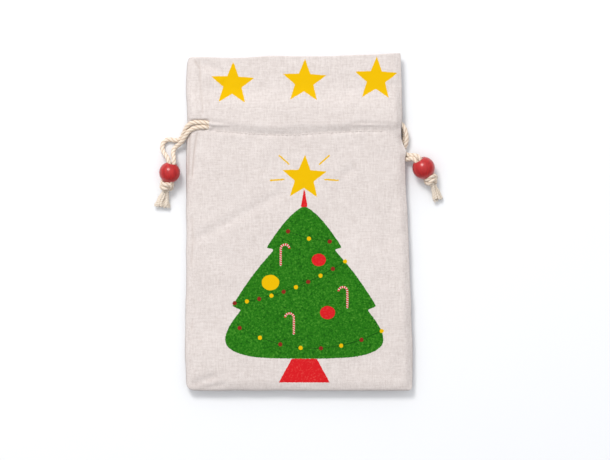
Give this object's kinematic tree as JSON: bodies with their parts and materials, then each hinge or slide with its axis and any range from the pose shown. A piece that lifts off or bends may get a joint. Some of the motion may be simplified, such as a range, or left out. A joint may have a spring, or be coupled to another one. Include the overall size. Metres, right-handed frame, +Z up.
{
  "type": "fabric gift sack",
  "caption": "Flat cloth drawstring sack with a printed front, a casing below a standing header, and two cords that run round the casing, each with a wooden bead and a knotted tassel.",
  "frame": {"origin": "centre of the sack's underside as it lies flat, cords left out", "axes": "+X across the sack to the right, +Y towards the mouth, +Z up through the printed front"},
  "size_m": [0.1995, 0.229, 0.0155],
  "materials": {
    "printed_cloth": "plain-woven linen and cotton with a printed tree",
    "plain_cloth": "plain-woven linen and cotton",
    "thread": "sewing thread",
    "cotton_cord": "twisted cotton cord",
    "red_paint": "glossy red paint on turned wood"
  },
  "bodies": {
    "sack": {"front_panel": "printed_cloth", "back_panel": "plain_cloth", "front_casing_hem": "plain_cloth", "back_casing_hem": "plain_cloth", "left_side_seam": "plain_cloth", "right_side_seam": "plain_cloth", "left_header_seam": "plain_cloth", "right_header_seam": "plain_cloth", "bottom_seam": "plain_cloth", "front_lower_stitching": "thread", "front_upper_stitching": "thread", "back_lower_stitching": "thread", "back_upper_stitching": "thread"},
    "left_cord": {"left_cord_loop": "cotton_cord", "left_cord_upper_tail": "cotton_cord", "left_cord_lower_tail": "cotton_cord", "left_knot": "cotton_cord", "left_tassel": "cotton_cord"},
    "right_cord": {"right_cord_loop": "cotton_cord", "right_cord_upper_tail": "cotton_cord", "right_cord_lower_tail": "cotton_cord", "right_knot": "cotton_cord", "right_tassel": "cotton_cord"},
    "left_bead": {"left_bead": "red_paint"},
    "right_bead": {"right_bead": "red_paint"}
  },
  "joints": [
    {"name": "left_cord_pull", "type": "slide", "parent": "sack", "child": "left_cord", "axis": [-1, 0, 0], "range_m": [0, 0.006]},
    {"name": "right_cord_pull", "type": "slide", "parent": "sack", "child": "right_cord", "axis": [1, 0, 0], "range_m": [0, 0.006]},
    {"name": "left_bead_slide", "type": "slide", "parent": "left_cord", "child": "left_bead", "axis": [0.2168, 0.9606, 0.1737], "range_m": [0, 0.002]},
    {"name": "right_bead_slide", "type": "slide", "parent": "right_cord", "child": "right_bead", "axis": [-0.5365, 0.8259, 0.1736], "range_m": [0, 0.002]}
  ]
}
